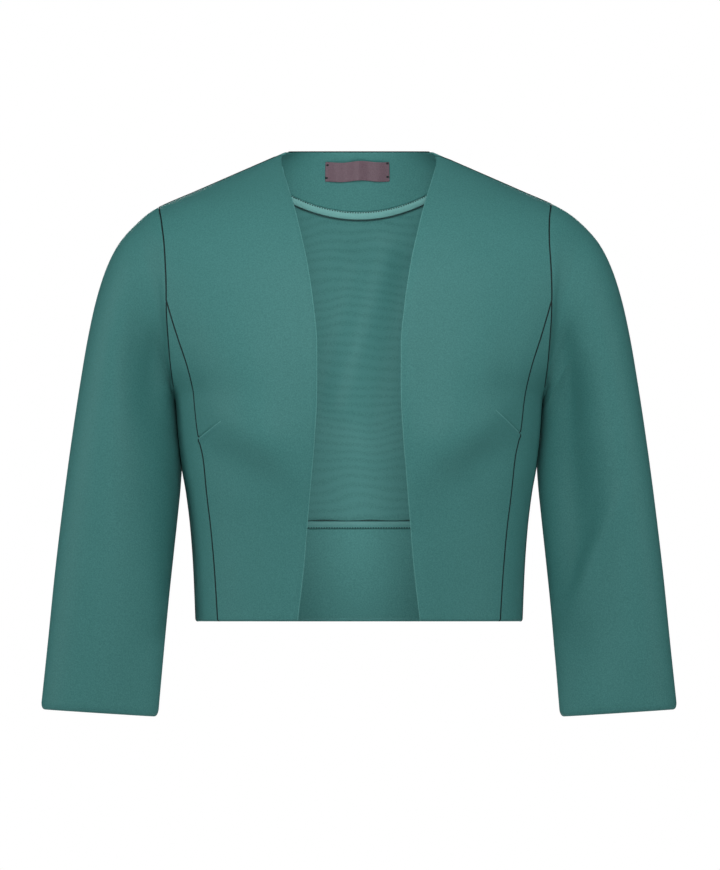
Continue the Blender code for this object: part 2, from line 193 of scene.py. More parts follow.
def body_point(angle, height, face, side):
    """Points of the body's outer surface on its left half, in millimetres."""
    share = np.abs(np.sin(angle))
    fall = np.sqrt(np.maximum(0.0, 1 - share**SECTION_POWER))
    rise = np.maximum(0.0, (height - SHOULDER_HEIGHT) / (NECK_HEIGHT - SHOULDER_HEIGHT))
    start = NECK_POINT_BACK * rise
    x = section_half(height, side) * np.sin(angle)
    z = height - set_in(height, side) * SHOULDER_SLOPE * share**2
    if face == "back":
        z = z + BACK_NECK_LIFT * rise * rise * fall
        y = start + (back_depth(height) - start) * fall
    else:
        across = (x - BUST_HALF) / BUST_WIDTH
        above = height - BUST_HEIGHT + BUST_SLANT * (BUST_HALF - x)
        down = above / np.where(above > 0, BUST_RISE, BUST_FALL)
        fullness = BUST_FULLNESS * np.exp(-across * across - down * down)
        y = start - (front_depth(height) + start + fullness) * fall
    return np.stack(np.broadcast_arrays(x, y, z), axis=-1)


# Soft troughs of the cloth, and swells where the depth is below zero, each drawn on the
# picture plane from one place to another.
Crease = namedtuple("Crease", "from_x from_z to_x to_z depth width")
FRONT_CREASES = [
    Crease(-164.0, -150.0, -158.0, -200.0, 1.2, 12.0),
    Crease(146.0, -150.0, 136.0, -200.0, 1.4, 13.0),
    Crease(-136.0, -268.0, -96.0, -286.0, 1.4, 18.0),
    Crease(132.0, -262.0, 98.0, -290.0, 1.6, 18.0),
    Crease(-112.0, -330.0, -96.0, -400.0, 1.2, 20.0),
    Crease(118.0, -330.0, 108.0, -400.0, 1.2, 20.0),
    Crease(-128.0, -236.0, -88.0, -250.0, -2.8, 22.0),
    Crease(128.0, -236.0, 80.0, -250.0, -2.8, 22.0),
    Crease(-150.0, -40.0, -120.0, -66.0, 0.9, 16.0),
    Crease(160.0, -34.0, 128.0, -60.0, 1.3, 16.0),
]


def sunk_by(creases, x, z):
    """How far a list of creases sinks each place of the picture plane."""
    total = np.zeros(np.broadcast(x, z).shape)
    for crease in creases:
        run_x = crease.to_x - crease.from_x
        run_z = crease.to_z - crease.from_z
        along = ((x - crease.from_x) * run_x + (z - crease.from_z) * run_z) / (run_x**2 + run_z**2)
        along = np.clip(along, 0.0, 1.0)
        apart = np.hypot(x - crease.from_x - along * run_x, z - crease.from_z - along * run_z)
        total += crease.depth * np.exp(-((apart / crease.width) ** 2))
    return total


# The dart is a pressed line: a fine groove with the cloth below it standing a little proud.
DARTS = {
    "left": Crease(152.6, -242.6, 129.6, -222.1, 1.5, 0.85),
    "right": Crease(154.0, -249.0, 130.6, -232.3, 1.5, 0.85),
}
DART_LIP = 0.9
DART_LIP_WIDTH = 2.2
DART_TAPER_POWER = 0.6
DART_RUN_OUT = 0.2


def dart_sink(side, x, z):
    dart = DARTS[side]
    run = np.array((dart.to_x - dart.from_x, dart.to_z - dart.from_z))
    length = np.hypot(*run)
    along = ((x - dart.from_x) * run[0] + (z - dart.from_z) * run[1]) / length**2
    across = ((x - dart.from_x) * run[1] - (z - dart.from_z) * run[0]) / length
    taper = np.clip(1 - along, 0.0, 1.0) ** DART_TAPER_POWER * (along > -DART_RUN_OUT)
    groove = dart.depth * np.exp(-((across / dart.width) ** 2))
    lip = DART_LIP * np.exp(-(((across + DART_LIP_WIDTH) / DART_LIP_WIDTH) ** 2))
    return (groove - lip) * taper


def grid_normals(points, inside, closed_round=False):
    """Outward unit normals of a grid of points, away from the given inside points."""
    if closed_round:
        across = np.roll(points, -1, axis=1) - np.roll(points, 1, axis=1)
    else:
        across = np.gradient(points, axis=1)
    normals = np.cross(across, np.gradient(points, axis=0))
    normals /= np.linalg.norm(normals, axis=-1, keepdims=True)
    if np.sum(normals * (points - inside)) < 0:
        normals = -normals
    return normals


BODY_AXIS = np.array((0.0, 0.0, -200.0))
RIM_DEGREES = 55.0
RIM_PERCENT = 40.0
RIM_SEGMENTS = 3


def cloth_sheet(bm, points, material_index, closed_round):
    """Adds a sheet through a grid of points and returns the vertices round each of its rims."""
    if closed_round:
        points = np.concatenate((points, points[:, :1]), axis=1)
    rows, columns = points.shape[:2]
    verts = bmesh.ops.create_grid(bm, x_segments=columns - 1, y_segments=rows - 1, size=1.0)["verts"]
    for vert, place in zip(verts, points.reshape(-1, 3) * MM):
        vert.co = place
        for face in vert.link_faces:
            face.material_index = material_index
    if not closed_round:
        return [[vert for vert in verts if vert.is_boundary]]
    rims = [verts[: columns - 1], verts[-columns:-1]]
    bmesh.ops.weld_verts(bm, targetmap=dict(zip(verts[columns - 1 :: columns], verts[::columns])))
    return rims


def cloth_shell(name, outer, inner, materials, closed_round=False):
    """A closed cloth shell between two grids of points in millimetres, with rolled rims."""
    bm = bmesh.new()
    outer_rims = cloth_sheet(bm, outer, 0, closed_round)
    inner_rims = cloth_sheet(bm, inner, len(materials) - 1, closed_round)
    for outer_rim, inner_rim in zip(outer_rims, inner_rims):
        on_rim = set(outer_rim + inner_rim)
        rim_edges = [edge for edge in bm.edges if edge.is_boundary and on_rim.issuperset(edge.verts)]
        for face in bmesh.ops.bridge_loops(bm, edges=rim_edges)["faces"]:
            face.material_index = 0
    bmesh.ops.recalc_face_normals(bm, faces=bm.faces)
    sharp = [edge for edge in bm.edges if edge.calc_face_angle(0.0) > math.radians(RIM_DEGREES)]
    bmesh.ops.bevel(
        bm,
        geom=sharp,
        offset=RIM_PERCENT,
        offset_type="PERCENT",
        segments=RIM_SEGMENTS,
        profile=0.5,
        affect="EDGES",
        material=-1,
    )
    mesh = bpy.data.meshes.new(name)
    bm.to_mesh(mesh)
    bm.free()
    for material in materials:
        mesh.materials.append(material)
    mesh.shade_smooth()
    piece = bpy.data.objects.new(name, mesh)
    bpy.context.scene.collection.objects.link(piece)
    return piece


def panel_shell(name, points, materials, inside=BODY_AXIS, closed_round=False):
    """A panel of the outer cloth: its wall lies inwards of the given points."""
    normals = grid_normals(points, inside, closed_round)
    return cloth_shell(name, points, points - normals * PANEL_WALL, materials, closed_round)


def sink(points, depths, inside=BODY_AXIS, closed_round=False):
    """Moves a grid of points in along its normals."""
    return points - grid_normals(points, inside, closed_round) * depths[..., None]


def wear(piece, node):
    """Puts a finished cloth piece on the jacket in place of its solid."""
    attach(piece, "root")
    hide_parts(node)


# The crepe's tone runs from dark to light by its grain, a slow drift and, on the reverse,
# faint watered bands. The scales of grain and drift count cells in a metre.
GRAIN_SCALE = 850.0
GRAIN_SPECKLE = 3.2
GRAIN_BUMP = 0.30
GRAIN_BUMP_METRES = 0.0004
DRIFT_SCALE = 14.0
DRIFT_SHARE = 0.30
MIDDLE_TONE = 0.35
RIPPLE_SCALE = 36.0
REVERSE_RIPPLE = 0.60
CREPE_DARK = (0.044, 0.180, 0.171, 1.0)
CREPE_LIGHT = (0.060, 0.222, 0.212, 1.0)
CREPE_SHEEN = (0.40, 0.85, 0.82, 1.0)
REVERSE_DARK = (0.038, 0.158, 0.150, 1.0)
REVERSE_LIGHT = (0.053, 0.198, 0.189, 1.0)


def woven_material(name, dark, light, ripple_share=0.0, speckle=GRAIN_SPECKLE):
    """Fine woven cloth: a pebbled grain, a slow drift of tone and a soft sheen."""
    material = bpy.data.materials.new(name)
    material.use_nodes = True
    nodes = material.node_tree.nodes
    links = material.node_tree.links
    shader = nodes["Principled BSDF"]
    shader.inputs["Roughness"].default_value = 0.62
    shader.inputs["Specular IOR Level"].default_value = 0.22
    shader.inputs["Sheen Weight"].default_value = 0.03
    shader.inputs["Sheen Roughness"].default_value = 0.45
    shader.inputs["Sheen Tint"].default_value = CREPE_SHEEN
    place = nodes.new("ShaderNodeTexCoord")
    grain = nodes.new("ShaderNodeTexNoise")
    grain.inputs["Scale"].default_value = GRAIN_SCALE
    grain.inputs["Detail"].default_value = 2.0
    grain.inputs["Roughness"].default_value = 0.6
    links.new(place.outputs["Object"], grain.inputs["Vector"])
    drift = nodes.new("ShaderNodeTexNoise")
    drift.inputs["Scale"].default_value = DRIFT_SCALE
    drift.inputs["Detail"].default_value = 3.0
    links.new(place.outputs["Object"], drift.inputs["Vector"])
    tone = nodes.new("ShaderNodeMath")
    tone.operation = "MULTIPLY_ADD"
    tone.inputs[1].default_value = DRIFT_SHARE
    links.new(drift.outputs["Fac"], tone.inputs[0])
    spread_grain = nodes.new("ShaderNodeMath")
    spread_grain.operation = "MULTIPLY_ADD"
    spread_grain.inputs[1].default_value = speckle
    spread_grain.inputs[2].default_value = MIDDLE_TONE - speckle / 2
    links.new(grain.outputs["Fac"], spread_grain.inputs[0])
    links.new(spread_grain.outputs["Value"], tone.inputs[2])
    last_tone = tone
    if ripple_share:
        ripple = nodes.new("ShaderNodeTexWave")
        ripple.wave_type = "BANDS"
        ripple.bands_direction = "Z"
        ripple.inputs["Scale"].default_value = RIPPLE_SCALE
        ripple.inputs["Distortion"].default_value = 12.0
        ripple.inputs["Detail"].default_value = 1.5
        ripple.inputs["Detail Scale"].default_value = 0.35
        links.new(place.outputs["Object"], ripple.inputs["Vector"])
        last_tone = nodes.new("ShaderNodeMath")
        last_tone.operation = "MULTIPLY_ADD"
        last_tone.inputs[1].default_value = ripple_share
        links.new(ripple.outputs["Fac"], last_tone.inputs[0])
        links.new(tone.outputs["Value"], last_tone.inputs[2])
    colour = nodes.new("ShaderNodeMix")
    colour.data_type = "RGBA"
    colour.inputs["A"].default_value = dark
    colour.inputs["B"].default_value = light
    links.new(last_tone.outputs["Value"], colour.inputs["Factor"])
    links.new(colour.outputs["Result"], shader.inputs["Base Color"])
    bump = nodes.new("ShaderNodeBump")
    bump.inputs["Strength"].default_value = GRAIN_BUMP
    bump.inputs["Distance"].default_value = GRAIN_BUMP_METRES
    links.new(grain.outputs["Fac"], bump.inputs["Height"])
    links.new(bump.outputs["Normal"], shader.inputs["Normal"])
    return material


crepe = woven_material("teal_crepe", CREPE_DARK, CREPE_LIGHT)
crepe_reverse = woven_material("teal_crepe_reverse", REVERSE_DARK, REVERSE_LIGHT, REVERSE_RIPPLE)

# The open edge is turned under, so the cloth rolls back along it.
EDGE_ROLL = {"left": 1.6, "right": 0.7}
EDGE_ROLL_WIDTH = {"left": 5.0, "right": 2.2}

# Rows and columns lie closer along the open edge, where the dart is pressed and at the seam.
ROW_STEP = 2.6
FINE_STEP = 0.7
DART_TOP = -216.0
DART_FOOT = -256.0
ROLL_SHARE = 0.09
DART_SHARE = 0.72
SEAM_SHARE = 0.012
ROLL_COLUMNS = 13
COARSE_COLUMNS = 28
FINE_COLUMNS = 40


def row_heights(top, foot, step=ROW_STEP):
    return np.linspace(top, foot, int(round((top - foot) / step)) + 1)


# The turned-up hem is soft: its last millimetres round inwards.
HEM_ROLL = 3.0
HEM_ROLL_STEP = 0.5
hem_roll_heights = row_heights(HEM_HEIGHT + HEM_ROLL, HEM_HEIGHT, HEM_ROLL_STEP)


def round_in(from_end, size):
    """How far a turned edge draws in at a distance from its end."""
    into = np.clip(1 - from_end / size, 0.0, 1.0)
    return size * (1 - np.sqrt(1 - into**2))


front_heights = np.unique(
    np.concatenate(
        (
            row_heights(FRONT_TOP, SHOULDER_HEIGHT),
            row_heights(SHOULDER_HEIGHT, ARMHOLE_MIDDLE),
            row_heights(ARMHOLE_MIDDLE, UNDERARM_HEIGHT),
            row_heights(UNDERARM_HEIGHT, DART_TOP),
            row_heights(DART_TOP, DART_FOOT, FINE_STEP),
            row_heights(DART_FOOT, HEM_HEIGHT + HEM_ROLL),
            hem_roll_heights,
        )
    )
)[::-1]
front_shares = np.concatenate(
    (
        np.linspace(0.0, ROLL_SHARE, ROLL_COLUMNS),
        np.linspace(ROLL_SHARE, DART_SHARE, COARSE_COLUMNS)[1:],
        np.linspace(DART_SHARE, 1 - SEAM_SHARE, FINE_COLUMNS)[1:],
        (1.0,),
    )
)
MIRROR = {"left": np.array((1.0, 1.0, 1.0)), "right": np.array((-1.0, 1.0, 1.0))}


def front_grid(side):
    height = front_heights[:, None]
    first = angle_at(opening_half(height), height, side)
    last = np.where(
        height < ARMHOLE_MIDDLE,
        angle_at(princess_half(height), height, side),
        edge_angle(height, side),
    )
    points = body_point(first + (last - first) * front_shares[None, :], height, "front", side)
    from_edge = points[..., 0] - opening_half(height)
    roll = EDGE_ROLL[side] * np.exp(-((from_edge / EDGE_ROLL_WIDTH[side]) ** 2))
    dents = roll + dart_sink(side, points[..., 0], points[..., 2]) + round_in(height - HEM_HEIGHT, HEM_ROLL)
    points = points * MIRROR[side]
    return sink(points, dents + sunk_by(FRONT_CREASES, points[..., 0], points[..., 2]))


# A light teal tube along the folded edge of the open front is a painted highlight of the turned edge.
EDGE_HIGHLIGHT_DARK = (0.070, 0.240, 0.228, 1.0)
EDGE_HIGHLIGHT_LIGHT = (0.096, 0.298, 0.284, 1.0)
OPEN_EDGE_RADIUS = 0.6
OPEN_EDGE_SINK = 0.5
OPEN_EDGE_START = 9.0


def open_edge_path(points):
    below_neck = front_heights < FRONT_TOP - OPEN_EDGE_START
    return (points - grid_normals(points, BODY_AXIS) * OPEN_EDGE_SINK)[below_neck, 0]


# A near-black tube at the bottom of the ditch between two pieces is painted shade along the seam, and it
# closes the small gap between them.
SEAM_DARK = (0.003, 0.010, 0.010, 1.0)
SEAM_LIGHT = (0.007, 0.022, 0.022, 1.0)
SEAM_RADIUS = 0.98
SEAM_SINK = 0.50
THREAD_ROUNDING = 2
THREAD_END = 0.4
MERGE_DISTANCE = 0.004


def round_tubes(name, paths, radius, material):
    """One mesh of round tubes along lists of points in millimetres, thinner at their ends, used both for
    real threads and for painted lines of shade and highlight.
    """
    curve = bpy.data.curves.new(name, "CURVE")
    curve.dimensions = "3D"
    curve.bevel_depth = radius * MM
    curve.bevel_resolution = THREAD_ROUNDING
    curve.use_fill_caps = True
    for path in paths:
        spline = curve.splines.new("POLY")
        spline.points.add(len(path) - 1)
        for point, place in zip(spline.points, path * MM):
            point.co = (*place, 1.0)
        spline.points[0].radius = THREAD_END
        spline.points[-1].radius = THREAD_END
    mesh = bpy.data.meshes.new_from_object(bpy.data.objects.new(f"{name}_path", curve))
    bpy.data.curves.remove(curve)
    mesh.name = name
    bm = bmesh.new()
    bm.from_mesh(mesh)
    bmesh.ops.remove_doubles(bm, verts=bm.verts, dist=MERGE_DISTANCE * MM)
    bm.to_mesh(mesh)
    bm.free()
    mesh.materials.clear()
    mesh.materials.append(material)
    mesh.shade_smooth()
    thread = bpy.data.objects.new(name, mesh)
    bpy.context.scene.collection.objects.link(thread)
    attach(thread, "root")
    return thread


def seam_path(points, column):
    """The bottom of the ditch along one edge of a panel."""
    return (points - grid_normals(points, BODY_AXIS) * SEAM_SINK)[:, column]


SHOULDER_SEAM_INSET = 0.9
SHOULDER_SEAM_SINK = 0.45


def front_seam_path(points):
    """The shoulder seam, a little in front of the ridge, then the armhole and the princess seam."""
    path = seam_path(points, -1)
    bed = points - grid_normals(points, BODY_AXIS) * SHOULDER_SEAM_SINK
    for row in np.flatnonzero(front_heights > SHOULDER_HEIGHT):
        half = np.abs(bed[row, :, 0])
        inset = half[-1] - SHOULDER_SEAM_INSET
        path[row] = [np.interp(inset, half, bed[row, :, axis]) for axis in range(3)]
    return path


# A light teal tube on the dart's pressed fold is a painted highlight along its edge.
DART_HIGHLIGHT_DARK = (0.088, 0.275, 0.262, 1.0)
DART_HIGHLIGHT_LIGHT = (0.122, 0.345, 0.328, 1.0)
DART_HIGHLIGHT_RADIUS = 0.50
DART_HIGHLIGHT_SINK = 0.1
DART_HIGHLIGHT_DROP = 0.9
DART_HIGHLIGHT_POINTS = 24
DART_HIGHLIGHT_START = 0.02
DART_HIGHLIGHT_END = 1.04
DART_BAND = np.array((-1.0, 0.0, 1.0))


def dart_path(side):
    """Path of the painted highlight on the dart's lower lip, the middle of a narrow band laid on the front.
    """
    dart = DARTS[side]
    share = np.linspace(DART_HIGHLIGHT_START, DART_HIGHLIGHT_END, DART_HIGHLIGHT_POINTS)[:, None]
    half = dart.from_x + (dart.to_x - dart.from_x) * share
    height = dart.from_z + (dart.to_z - dart.from_z) * share - DART_HIGHLIGHT_DROP + DART_BAND
    points = body_point(angle_at(half, height, side), height, "front", side) * MIRROR[side]
    return sink(points, DART_HIGHLIGHT_SINK + sunk_by(FRONT_CREASES, points[..., 0], points[..., 2]))[:, 1]


# Near-black cloth for the real stitches and tacks, and for the painted shade along the seams.
thread_and_seam_shade = woven_material("dark_thread_and_seam_shade", SEAM_DARK, SEAM_LIGHT)
thread_and_seam_shade.node_tree.nodes["Principled BSDF"].inputs["Sheen Weight"].default_value = 0.0
edge_highlight = woven_material("teal_edge_highlight", EDGE_HIGHLIGHT_DARK, EDGE_HIGHLIGHT_LIGHT)
dart_highlight = woven_material("teal_dart_highlight", DART_HIGHLIGHT_DARK, DART_HIGHLIGHT_LIGHT)

for side in ("left", "right"):
    front_points = front_grid(side)
    front = panel_shell(f"front_{side}_cloth", front_points, [crepe, crepe_reverse])
    wear(front, f"front_{side}")
    round_tubes(f"front_{side}_seam", [front_seam_path(front_points)], SEAM_RADIUS, thread_and_seam_shade)
    round_tubes(f"front_{side}_dart", [dart_path(side)], DART_HIGHLIGHT_RADIUS, dart_highlight)
    round_tubes(f"front_{side}_edge", [open_edge_path(front_points)], OPEN_EDGE_RADIUS, edge_highlight)

# Side fronts
# The narrow panel of the same crepe between the princess seam and the side seam. It is sewn
# to the front along one edge and to the back along the other.
SIDE_FRONT_DROP = 0.4
SIDE_FRONT_TOP = ARMHOLE_MIDDLE - SIDE_FRONT_DROP
SIDE_FRONT_COLUMNS = 22
side_front_heights = np.unique(
    np.concatenate(
        (
            row_heights(SIDE_FRONT_TOP, UNDERARM_HEIGHT),
            row_heights(UNDERARM_HEIGHT, HEM_HEIGHT + HEM_ROLL),
            hem_roll_heights,
        )
    )
)[::-1]
side_front_shares = np.linspace(0.0, 1.0, SIDE_FRONT_COLUMNS)


def side_front_grid(side):
    height = side_front_heights[:, None]
    first = angle_at(princess_half(height), height, side)
    last = edge_angle(height, side)
    points = body_point(first + (last - first) * side_front_shares[None, :], height, "front", side)
    points = points * MIRROR[side]
    dents = sunk_by(FRONT_CREASES, points[..., 0], points[..., 2])
    return sink(points, dents + round_in(height - HEM_HEIGHT, HEM_ROLL))


for side in ("left", "right"):
    side_points = side_front_grid(side)
    side_front = panel_shell(f"side_front_{side}_cloth", side_points, [crepe, crepe_reverse])
    wear(
        side_front,
        f"side_front_{side}",
    )
    round_tubes(f"side_front_{side}_seam", [seam_path(side_points, -1)], SEAM_RADIUS, thread_and_seam_shade)

# Back
# The back is one piece of the same crepe from neck to hem and from side seam to side seam,
# and its unlined reverse shows through the open front.
BACK_COLUMNS = 58
BACK_CREASES = [
    Crease(-120.0, -70.0, -60.0, -150.0, 2.0, 20.0),
    Crease(125.0, -60.0, 70.0, -140.0, 2.2, 20.0),
    Crease(-40.0, -250.0, 60.0, -262.0, 1.6, 16.0),
    Crease(-150.0, -290.0, -90.0, -300.0, 1.8, 16.0),
    Crease(148.0, -280.0, 84.0, -296.0, 1.8, 16.0),
    Crease(20.0, -320.0, 30.0, -410.0, 1.2, 18.0),
    Crease(26.0, -64.0, -18.0, -215.0, 3.4, 14.0),
    Crease(-8.0, -74.0, -42.0, -200.0, -2.2, 14.0),
    Crease(46.0, -88.0, 18.0, -235.0, -2.6, 15.0),
    Crease(-92.0, -330.0, -104.0, -410.0, 1.2, 18.0),
]
back_heights = np.unique(
    np.concatenate(
        (
            row_heights(NECK_HEIGHT, SHOULDER_HEIGHT),
            row_heights(SHOULDER_HEIGHT, UNDERARM_HEIGHT),
            row_heights(UNDERARM_HEIGHT, HEM_HEIGHT + HEM_ROLL),
            hem_roll_heights,
        )
    )
)[::-1]
back_shares = np.linspace(0.0, 1.0, BACK_COLUMNS)


def back_grid():
    height = back_heights[:, None]
    halves = {}
    for side in ("left", "right"):
        angle = edge_angle(height, side) * back_shares[None, :]
        halves[side] = body_point(angle, height, "back", side) * MIRROR[side]
    points = np.concatenate((halves["right"][:, :0:-1], halves["left"]), axis=1)
    dents = sunk_by(BACK_CREASES, points[..., 0], points[..., 2])
    return sink(points, dents + round_in(height - HEM_HEIGHT, HEM_ROLL))


back_points = back_grid()
back = panel_shell("back_cloth", back_points, [crepe, crepe_reverse])
wear(back, "back")
on_armhole = (back_heights <= SHOULDER_HEIGHT) & (back_heights >= UNDERARM_HEIGHT)
back_seams = [seam_path(back_points, column)[on_armhole] for column in (0, -1)]
round_tubes("back_armhole_seams", back_seams, SEAM_RADIUS, thread_and_seam_shade)

# Sleeves
# Three-quarter sleeves of the same crepe, each a tube set into its armhole by a plain seam
# and turned up at the open hem. They hang close to the body with a few long soft folds.
SleeveSection = namedtuple(
    "SleeveSection", "along outer_x outer_z inner_x inner_z front back outer_y inner_y"
)
SLEEVE_SECTIONS = [
    SleeveSection(0.00, 188.3, -24.4, 176.8, -209.2, 60.0, 62.0, 0.0, 0.0),
    SleeveSection(0.06, 202.1, -32.6, 176.3, -211.0, 60.0, 62.0, 0.0, 16.0),
    SleeveSection(0.13, 217.3, -45.8, 175.6, -214.0, 59.0, 61.0, 0.0, 18.0),
    SleeveSection(0.20, 231.0, -62.2, 175.0, -218.0, 58.0, 60.0, 0.0, 20.0),
    SleeveSection(0.28, 242.4, -85.0, 174.5, -224.0, 56.0, 58.0, 0.0, 20.0),
    SleeveSection(0.37, 252.0, -115.0, 173.4, -233.0, 54.0, 56.0, 0.0, 20.0),
    SleeveSection(0.46, 260.3, -153.0, 172.1, -247.0, 52.0, 53.0, -1.0, 20.0),
    SleeveSection(0.55, 267.4, -195.0, 169.6, -268.0, 50.0, 50.0, -1.0, 18.0),
    SleeveSection(0.63, 273.5, -235.0, 170.8, -292.0, 48.0, 47.0, -2.0, 12.0),
    SleeveSection(0.71, 279.9, -281.0, 173.6, -322.0, 45.0, 44.0, -4.0, 5.0),
    SleeveSection(0.79, 286.3, -332.0, 177.6, -360.0, 42.0, 41.0, -6.0, -1.0),
    SleeveSection(0.86, 291.8, -380.0, 181.8, -400.0, 39.0, 38.0, -8.0, -6.0),
    SleeveSection(0.93, 298.4, -446.0, 186.8, -453.0, 36.0, 34.0, -10.0, -9.0),
    SleeveSection(1.00, 304.9, -508.2, 192.4, -515.4, 33.0, 31.0, -12.0, -12.0),
]
SLEEVE_SEAM_SETTLE = 0.12
SLEEVE_STEPS = 166
SLEEVE_ROUND = 128
SLEEVE_LENGTH = 470.0
SLEEVE_HEM_ROLL = 4.0
SLEEVE_HEM_STEPS = 9
sleeve_value = {
    name: smooth_curve(SLEEVE_SECTIONS, "along", name) for name in SleeveSection._fields[1:]
}

# A turn of 0 is the outer edge, 90 the middle of the front and -90 the middle of the back.
# A fold whose depth is below zero is a ridge.
Fold = namedtuple("Fold", "side from_along from_turn to_along to_turn depth width")
SLEEVE_FOLDS = [
    Fold("left", -0.08, 112.0, 0.58, 112.0, 11.5, 28.0),
    Fold("left", 0.30, 126.0, 0.98, 104.0, 17.5, 36.0),
    Fold("left", 0.56, 132.0, 1.00, 144.0, 6.0, 20.0),
    Fold("left", 0.44, -104.0, 0.74, -76.0, 3.0, 14.0),
    Fold("left", 0.70, 58.0, 0.94, 160.0, -5.5, 15.0),
    Fold("right", -0.10, 114.0, 0.62, 112.0, 12.0, 28.0),
    Fold("right", 0.48, -100.0, 0.80, -84.0, 3.0, 14.0),
    Fold("right", 0.04, 80.0, 0.52, 82.0, 4.5, 22.0),
]


def fold_depth(side, along, turn, girth):
    """How far the soft folds of a sleeve sink at a place on it."""
    sunk = np.zeros(np.broadcast(along, turn).shape)
    for fold in SLEEVE_FOLDS:
        if fold.side != side:
            continue
        share = np.clip((along - fold.from_along) / (fold.to_along - fold.from_along), 0.0, 1.0)
        middle = fold.from_turn + (fold.to_turn - fold.from_turn) * share
        apart = np.radians((turn - middle + 180) % 360 - 180) * girth
        sunk = sunk + fold.depth * np.sin(np.pi * share) * np.exp(-((apart / fold.width) ** 2))
    return sunk


def sleeve_grid(side):
    hem_start = 1 - SLEEVE_HEM_ROLL / SLEEVE_LENGTH
    along = np.concatenate(
        (np.linspace(0.0, hem_start, SLEEVE_STEPS), np.linspace(hem_start, 1.0, SLEEVE_HEM_STEPS)[1:])
    )[:, None]
    turn = np.linspace(0.0, 360.0, SLEEVE_ROUND, endpoint=False)[None, :]
    angle = np.radians(turn)
    at = {name: curve(along) for name, curve in sleeve_value.items()}
    reach = np.where(np.sin(angle) > 0, at["front"], at["back"])
    half_x = (at["outer_x"] - at["inner_x"]) / 2
    half_z = (at["outer_z"] - at["inner_z"]) / 2
    arm_x = half_x * np.cos(angle)
    arm_y = -reach * np.sin(angle)
    arm_z = half_z * np.cos(angle)
    girth = (np.hypot(half_x, half_z) + reach) / 2
    arm = np.sqrt(arm_x**2 + arm_y**2 + arm_z**2)
    drawn_in = fold_depth(side, along, turn, girth) + round_in((1 - along) * SLEEVE_LENGTH, SLEEVE_HEM_ROLL)
    kept = 1 - drawn_in / arm
    x = at["inner_x"] + half_x + arm_x * kept
    y = at["outer_y"] + (at["inner_y"] - at["outer_y"]) * (1 - np.cos(angle)) / 2 + arm_y * kept
    z = at["inner_z"] + half_z + arm_z * kept
    settle = np.maximum(0.0, 1 - along / SLEEVE_SEAM_SETTLE) ** 2
    height = np.clip(z, UNDERARM_HEIGHT, SHOULDER_HEIGHT)
    share = (height - UNDERARM_HEIGHT) / (SHOULDER_HEIGHT - UNDERARM_HEIGHT)
    underarm_x = armhole_half(UNDERARM_HEIGHT)
    straight_x = underarm_x + (SHOULDER_HALF - underarm_x) * share
    edge = edge_angle(height, side)
    front_seam = body_point(edge, height, "front", side)
    back_seam = body_point(edge, height, "back", side)
    seam = np.where((np.sin(angle) > 0)[..., None], front_seam, back_seam)
    x = x + (seam[..., 0] - straight_x) * settle + SEAM_GAP
    y = y + (seam[..., 1] - y) * settle
    z = z + (seam[..., 2] - height) * settle
    return np.stack((x, y, z), axis=-1) * MIRROR[side]


for side in ("left", "right"):
    tube = sleeve_grid(side)
    sleeve = panel_shell(
        f"sleeve_{side}_cloth",
        tube,
        [crepe, crepe_reverse],
        inside=tube.mean(axis=1, keepdims=True),
        closed_round=True,
    )
    wear(sleeve, f"sleeve_{side}")

# Back neck facing and its binding
# A shaped facing of the same crepe lies inside the back neck. Its lower edge is bound with a
# rolled satin strip, held by a row of small stitches along the strip's upper edge.
FACING_WALL = 1.0
LAYER_GAP = 0.5
FACING_CENTRE_HEIGHT = -27.8
FACING_RISE = 15.8
FACING_RISE_HALF = 66.0
FACING_SHOULDER_HALF = 101.0
FACING_NECK_HALF = 66.0
FACING_TOP_DROP = 0.8
FACING_COLUMNS = 90
FACING_ROWS = 26
BINDING_WIDTH = 7.2
BINDING_WALL = 1.8
BINDING_CROWN = 0.7
BINDING_ROWS = 9
INSIDE_BACK = PANEL_WALL + LAYER_GAP
NECK_SATIN_DARK = (0.128, 0.335, 0.318, 1.0)
NECK_SATIN_LIGHT = (0.170, 0.415, 0.395, 1.0)
NECK_SATIN_ROUGHNESS = 0.42
SATIN_SPECKLE = 1.2
BINDING_STITCH_PITCH = 2.5
BINDING_STITCH_LENGTH = 1.6
BINDING_STITCH_RADIUS = 0.42
BINDING_STITCH_INSET = 0.80
BINDING_STITCH_LIFT = 0.42
STITCH_POINTS = 5
NECK_SEAM_RADIUS = 0.75
NECK_SEAM_DROP = 0.35
NECK_SEAM_HALF = 69.0
# The ditch tubes are painted shadow: dark lines along the gaps at the bindings' edges.
DITCH_RADIUS = 0.75
DITCH_LIFT = 0.9
DITCH_DARK = (0.010, 0.038, 0.037, 1.0)
DITCH_LIGHT = (0.020, 0.066, 0.064, 1.0)
ANGLE_STEP = 0.002


def inside_back(half, height, moved_in):
    """Points inside the back, moved in from its outer surface along the level normal."""
    points = np.zeros(np.broadcast(half, height, moved_in).shape + (3,))
    for side in ("left", "right"):
        here = (half >= 0) if side == "left" else (half < 0)
        angle = angle_at(np.abs(half), height, side)
        point = body_point(angle, height, "back", side)
        ahead = body_point(angle + ANGLE_STEP, height, "back", side)
        way = ahead - body_point(angle - ANGLE_STEP, height, "back", side)
        normal = np.stack((-way[..., 1], way[..., 0], np.zeros_like(way[..., 0])), axis=-1)
        normal /= np.linalg.norm(normal, axis=-1, keepdims=True)
        spot = (point - normal * moved_in[..., None]) * MIRROR[side]
        points = np.where(here[..., None], spot, points)
    return points


def facing_edge_height(half):
    return FACING_CENTRE_HEIGHT + FACING_RISE * (half / FACING_RISE_HALF) ** 2


def lining_layer(half, height, depth):
    """A grid of points inside the back at one depth, or a depth for each place."""
    half, height, depth = np.broadcast_arrays(half, height, depth)
    return inside_back(half, height, depth)


